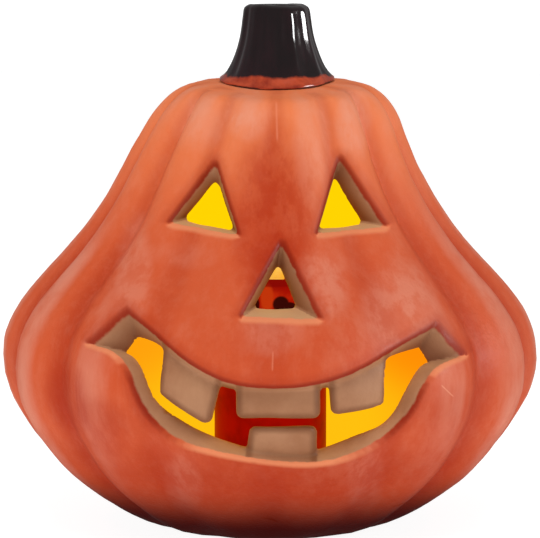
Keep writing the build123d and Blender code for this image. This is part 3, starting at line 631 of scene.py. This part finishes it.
def wax_material():
    m = Nodes("red_wax")
    z = m.axis(2)
    cloud = m.noise(120, 4, 0.55)
    red = m.mix(m.range(cloud, 0.35, 0.7), srgb(150, 2, 0), srgb(126, 0, 0))
    # painted light: the wax glows by its own emission, brighter near the top as if lit by the flame, with a
    # painted pool of light at the lit spot
    glow = m.mix(m.range(z, 0.086, 0.091), srgb(196, 44, 12), srgb(140, 6, 4))
    lit = spot(m, -0.0011, 0.0862, 0.0024, 0.0052, 0.5)
    warm = m.mix(m.math("MULTIPLY", m.range(z, 0.078, 0.086), m.range(cloud, 0.3, 0.7)), red, glow)
    warm = m.mix(lit, warm, srgb(184, 52, 12))
    dark = m.math("MAXIMUM", spot(m, 0.0040, 0.0838, 0.0030, 0.0030, 0.3),
                  spot(m, 0.0068, 0.0826, 0.0030, 0.0019, 0.3))
    dark = m.math("MAXIMUM", dark, spot(m, -0.0052, 0.0835, 0.0013, 0.0030, 0.4))
    warm = m.mix(dark, warm, srgb(34, 2, 4))
    warm = m.mix(m.math("MULTIPLY", m.range(z, 0.0899, 0.0906), 0.75), warm, srgb(122, 2, 4))
    m.set(Base_Color=m.mix(0.75, warm, srgb(40, 0, 0)), Roughness=0.42, Specular_IOR_Level=0.05)
    # the wax's painted glow
    m.set(Emission_Color=warm, Emission_Strength=0.8)
    m.bump(m.noise(60, 3, 0.5, (1, 1, 0.4)), 0.1, 0.0008)
    return m.material


def flame_material():
    m = Nodes("flame_plastic")
    z = m.axis(2)
    glow = m.mix(m.range(z, 0.088, 0.102), srgb(246, 170, 30), srgb(253, 208, 80))
    glow = m.mix(m.range(m.noise(300, 3), 0.3, 0.7, 0.0, 0.25), glow, srgb(255, 226, 150))
    m.set(Base_Color=srgb(120, 70, 10), Roughness=0.5, Emission_Color=glow, Emission_Strength=0.9)
    m.set(Specular_IOR_Level=0.1)
    m.bump(m.noise(200, 3), 0.1, 0.0004)
    return m.material


def simple_material(name, colour, second, rough, scale=60, strength=0.1, **extra):
    m = Nodes(name)
    mottled = m.mix(m.range(m.noise(scale, 4), 0.35, 0.7), colour, second)
    m.set(Base_Color=mottled, Roughness=m.range(m.noise(scale * 2, 3), 0.3, 0.7, rough * 0.85, rough * 1.15))
    m.set(**extra)
    m.bump(m.noise(scale * 8, 3), strength, 0.0003)
    return m.material


def give(obj, material):
    obj.data.materials.clear()
    obj.data.materials.append(material)
    return obj


shell = make_shell()
give(shell, ceramic_material())
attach(shell, "pumpkin")
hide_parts("pumpkin_shell")

# ============================================================================================
# Stem, candle and flame
# ============================================================================================
def lathe(name, profile, count, shape):
    """Closed surface turned from (radius, height) points; shape(angle, radius, height) moves each point."""
    rows, points, faces = len(profile), [], []
    for r, z in profile:
        for i in range(count):
            angle = 2 * math.pi * i / count
            points.append(shape(angle, r, z))
    for j in range(rows - 1):
        for i in range(count):
            a, b = j * count + i, j * count + (i + 1) % count
            faces.append((a, b, b + count, a + count))
    low = len(points)
    points.append(tuple(np.mean(points[:count], axis=0)))
    points.append(tuple(np.mean(points[(rows - 1) * count:rows * count], axis=0)))
    for i in range(count):
        faces.append((low, (i + 1) % count, i))
        faces.append((low + 1, (rows - 1) * count + i, (rows - 1) * count + (i + 1) % count))
    return mesh_object(name, points, faces)


stem_low, stem_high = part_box("stem")
STEM_TOP = stem_high.z / MM - CROWN
STEM_LINE = [(20.9, 0.0), (21.4, 0.6), (20.4, 1.6), (19.1, 3.0), (17.7, 5.2), (15.4, 10.5),
             (13.8, 16.0), (13.1, 20.5), (12.6, 24.2), (11.9, 26.4), (10.2, 27.5)]


def stem_point(angle, r, z):
    up = z - CROWN
    x, y = r * math.cos(angle), r * math.sin(angle)
    slope = min(y, 0) * math.tan(CROWN_SLOPE)
    if up < -0.5 or r < 9.0:
        return (STEM_X + x, y, z)
    wide = float(ease(up, 0.8, 4.0)) * (1 - 0.7 * float(ease(up, 24.0, 27.4)))
    wander = 0.22 * math.sin(up * 0.21 + 1.0) + 0.10 * math.sin(up * 0.5)
    ridge = math.cos(11 * angle + wander + 0.35 * math.sin(2 * angle + 0.8))
    fine = math.cos(23 * angle + 0.6 * math.sin(3 * angle) + up * 0.05)
    r += wide * (0.10 * fine - 0.30 * (1 - ridge))
    r += ((1 - float(ease(up, 0.5, 5.0))) * 0.4 * math.cos(7 * angle + 0.4)
          + 0.12 * math.sin(3 * angle + up * 0.2))
    r = min(r, 21.45)
    lift = min(0.35 * math.sin(2 * angle + 0.6) * float(ease(up, 18, 27)), STEM_TOP + CROWN - z - 0.02)
    down = slope * (1 - float(ease(up, 0.0, 9.0)))
    return (STEM_X + r * math.cos(angle), r * math.sin(angle), z + lift + down)


def make_stem():
    side = smooth_curve(STEM_LINE, 90)
    top = []
    for t in np.linspace(0.04, 0.97, 22):
        rise = 0.3 * math.sin(min(t * 4, 1) * math.pi / 2)
        top.append((10.2 * (1 - t), 27.5 + rise - 1.1 * float(ease(t, 0.15, 0.7))))
    line = [(2.0, -7.9), (11.4, -8.0), (12.0, -7.4), (12.0, -3.0), (12.3, 0.0), (16.0, 0.0), (20.0, 0.0)]
    line += [tuple(p) for p in side] + top
    obj = lathe("stem_body", [(r, CROWN + z) for r, z in line], 264, stem_point)
    give(obj, glaze_material())
    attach(obj, "pumpkin")
    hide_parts("stem")


candle_low, candle_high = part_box("candle_sleeve")
CANDLE_R = candle_high.x / MM
CANDLE_TOP = candle_high.z / MM
CANDLE_FOOT = candle_low.z / MM


def make_candle():
    r, top, foot = CANDLE_R, CANDLE_TOP, CANDLE_FOOT
    outside = [(r - 2.2, foot), (r - 0.5, foot), (r - 0.08, foot + 0.5)]
    outside += [(r, z) for z in np.linspace(foot + 1.5, top - 2.0, 40)]
    turn = [(r - 1.2 * (1 - math.cos(t)), top - 1.2 + 1.2 * math.sin(t)) for t in np.linspace(0, 1.5, 9)]
    pool = [(r - 2.0, top - 0.25), (r - 3.0, top - 1.3)]
    pool += [(rr, top - 5.0 + 3.0 * (rr / (r - 2.2)) ** 2.2) for rr in np.linspace(r - 4.2, 5.4, 18)]
    under = [(5.0, top - 5.2), (5.0, top - 7.0), (9.0, top - 7.0), (r - 2.6, top - 7.0), (r - 2.2, top - 7.6)]
    under += [(r - 2.2, z) for z in np.linspace(top - 12, foot + 0.5, 8)]
    profile = outside + turn + pool + under

    def shape(angle, radius, z):
        wave = 0.16 * math.sin(3 * angle + 0.5) + 0.1 * math.sin(7 * angle + z * 0.05)
        if z > top - 3 and radius > r - 4:
            z -= 0.25 + 0.25 * math.sin(2 * angle + 2.2) * float(ease(radius, r - 4, r - 1))
        if radius > r - 1:
            radius -= 0.3 - wave * 0.8
        return (radius * math.cos(angle), radius * math.sin(angle), z)

    points, faces, count = [], [], 160
    for rr, zz in profile:
        points += [shape(2 * math.pi * i / count, rr, zz) for i in range(count)]
    rows = len(profile)
    for j in range(rows):
        for i in range(count):
            a, b = j * count + i, j * count + (i + 1) % count
            k = (j + 1) % rows
            faces.append((a, b, k * count + (i + 1) % count, k * count + i))
    obj = mesh_object("candle_body", points, faces)
    give(obj, wax_material())
    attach(obj, "light_unit")
    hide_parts("candle_sleeve")


make_stem()
make_candle()

# slot: colour, second colour, roughness, scale of the mottling, bump
PLAIN = {
    "base_plastic": ((34, 34, 37), (44, 44, 47), 0.5, 90, 0.25),
    "silicone": ((120, 120, 122), (104, 104, 108), 0.6, 80, 0.15),
    "led_epoxy": ((255, 226, 160), (255, 210, 130), 0.12, 60, 0.03),
    "white_plastic": ((226, 226, 220), (214, 214, 208), 0.45, 60, 0.1),
    "board_green": ((22, 92, 48), (16, 76, 38), 0.35, 60, 0.1),
    "chip_black": ((26, 26, 28), (36, 36, 38), 0.5, 60, 0.1),
    "cell_wrap": ((34, 84, 50), (28, 72, 42), 0.3, 60, 0.1),
    "plated_metal": ((206, 204, 198), (190, 188, 182), 0.25, 60, 0.1),
    "spring_steel": ((176, 176, 176), (160, 160, 160), 0.3, 60, 0.1),
    "screw_steel": ((172, 172, 170), (150, 150, 148), 0.35, 60, 0.1),
    "knob_plastic": ((214, 214, 208), (200, 200, 194), 0.45, 60, 0.1),
    "red_insulation": ((172, 20, 20), (150, 14, 14), 0.4, 60, 0.1),
    "black_insulation": ((24, 24, 26), (34, 34, 36), 0.4, 60, 0.1),
}
EXTRA = {slot: {"Metallic": 1.0} for slot in ("plated_metal", "spring_steel", "screw_steel")}
EXTRA["led_epoxy"] = {"Emission_Color": (1.0, 0.7, 0.25, 1), "Emission_Strength": 1.5}
by_slot = {"flame_plastic": flame_material()}
for slot, (colour, second, rough, scale, strength) in PLAIN.items():
    by_slot[slot] = simple_material(slot, srgb(*colour), srgb(*second), rough, scale, strength,
                                    **EXTRA.get(slot, {}))
for part in frame["record"]["subparts"]:
    node = frame["nodes"][part["node"]]
    if part["material_slot"] in by_slot and not node.hide_render:
        give(node, by_slot[part["material_slot"]])

# ============================================================================================
# Stage, light and camera
# ============================================================================================
def area_light(name, location, target, size, power, colour=(1, 1, 1)):
    data = bpy.data.lights.new(name, "AREA")
    data.shape, data.size, data.size_y = "RECTANGLE", size[0], size[1]
    data.energy, data.color = power, colour
    lamp = bpy.data.objects.new(name, data)
    lamp.location = location
    lamp.rotation_euler = (Vector(target) - Vector(location)).to_track_quat("-Z", "Y").to_euler()
    bpy.context.scene.collection.objects.link(lamp)
    return lamp


def make_stage():
    bm = bmesh.new()
    bmesh.ops.create_grid(bm, x_segments=8, y_segments=8, size=3.0)
    mesh = bpy.data.meshes.new("floor")
    bm.to_mesh(mesh)
    bm.free()
    floor = bpy.data.objects.new("floor", mesh)
    floor.location = (0, 0.5, -0.0003)
    wall = bpy.data.objects.new("backdrop", mesh.copy())
    wall.rotation_euler = (math.radians(90), 0, 0)
    wall.location = (0, 3.5, 0)
    for obj, name, shine in ((floor, "floor_paper", 0.92), (wall, "backdrop_paper", 1.0)):
        bpy.context.scene.collection.objects.link(obj)
        m = Nodes(name)
        m.set(Base_Color=(0.35, 0.35, 0.35), Roughness=0.9, Specular_IOR_Level=0.1)
        m.set(Emission_Color=(1, 1, 1), Emission_Strength=shine)
        give(obj, m.material)
        obj.visible_diffuse = obj is floor
        obj.visible_glossy = False
    world = bpy.data.worlds.new("studio")
    bpy.context.scene.world = world
    world.use_nodes = True
    world.node_tree.nodes["Background"].inputs[0].default_value = (1, 1, 1, 1)
    world.node_tree.nodes["Background"].inputs[1].default_value = 0.25


def make_camera():
    data = bpy.data.cameras.new("camera")
    data.sensor_width, data.lens = 36.0, 178.0
    data.clip_start, data.clip_end = 0.05, 20
    camera = bpy.data.objects.new("camera", data)
    tilt = math.radians(7)
    aim = Vector((0, 0, 0.0943))
    camera.location = aim - Vector((0, math.cos(tilt), -math.sin(tilt))) * 1.0
    camera.rotation_euler = (math.radians(90) - tilt, 0, 0)
    bpy.context.scene.collection.objects.link(camera)
    bpy.context.scene.camera = camera


make_stage()
make_camera()
area_light("key", (0.05, -0.70, 1.6), (0, 0, 0.10), (0.9, 0.7), 12.8)
area_light("left", (-1.3, -0.6, 0.4), (0, 0, 0.07), (0.7, 1.0), 4.6)
area_light("right", (1.3, -0.6, 0.4), (0, 0, 0.07), (0.7, 1.0), 4.2)
for name in ("key", "left", "right"):
    bpy.data.objects[name].visible_glossy = False
glint = area_light("glint", (0.95, -0.42, 0.38), (0, 0, 0.18), (0.42, 0.26), 14)
glint.visible_diffuse = False
bpy.context.scene.view_settings.view_transform = "Standard"

bpy.context.view_layer.update()
